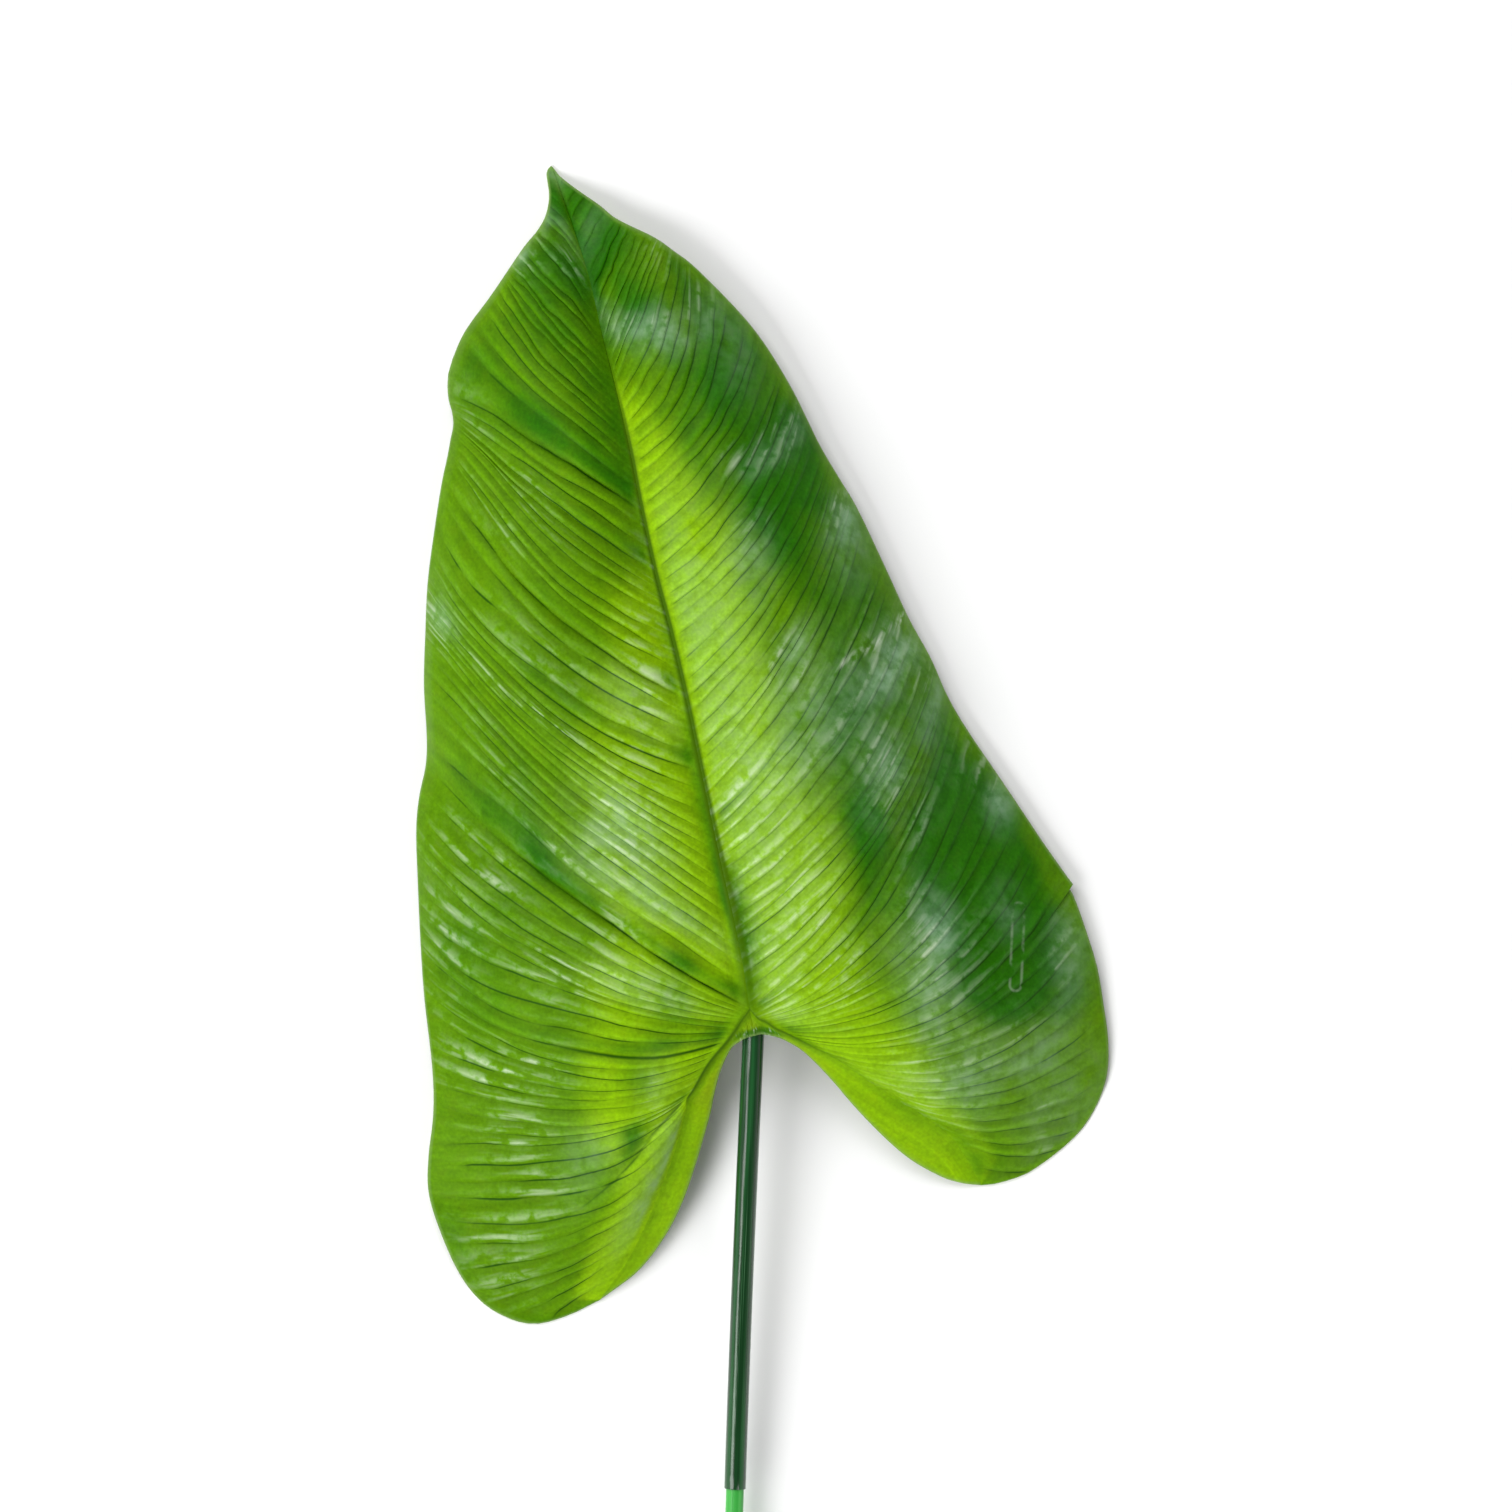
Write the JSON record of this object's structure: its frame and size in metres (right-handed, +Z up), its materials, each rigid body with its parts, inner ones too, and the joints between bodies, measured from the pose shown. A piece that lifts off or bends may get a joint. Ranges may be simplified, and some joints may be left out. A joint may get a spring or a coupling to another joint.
{
  "type": "artificial giant taro leaf",
  "caption": "Large heart-shaped artificial leaf with an embossed glossy green blade, a dark sleeve and a bright green stem with a wire core, lying face up",
  "frame": {"origin": "centre of the base of the whole leaf's box, on the surface it lies on", "axes": "+X to the right of the leaf's face, +Y from the stem's end to the leaf's tip, +Z up out of the face"},
  "size_m": [0.264, 0.7316, 0.0507],
  "materials": {
    "blade": "moulded, semi-gloss, shaded from yellow-green at the ribs to deep green at the margin",
    "sleeve": "extruded, glossy dark green",
    "stem": "extruded, semi-matt bright green with lengthwise draw lines",
    "wire": "drawn steel, cut end"
  },
  "bodies": {
    "root": {"leaf_blade": "blade", "upper_stem": "sleeve", "lower_stem": "stem", "stem_wire": "wire"}
  },
  "joints": []
}
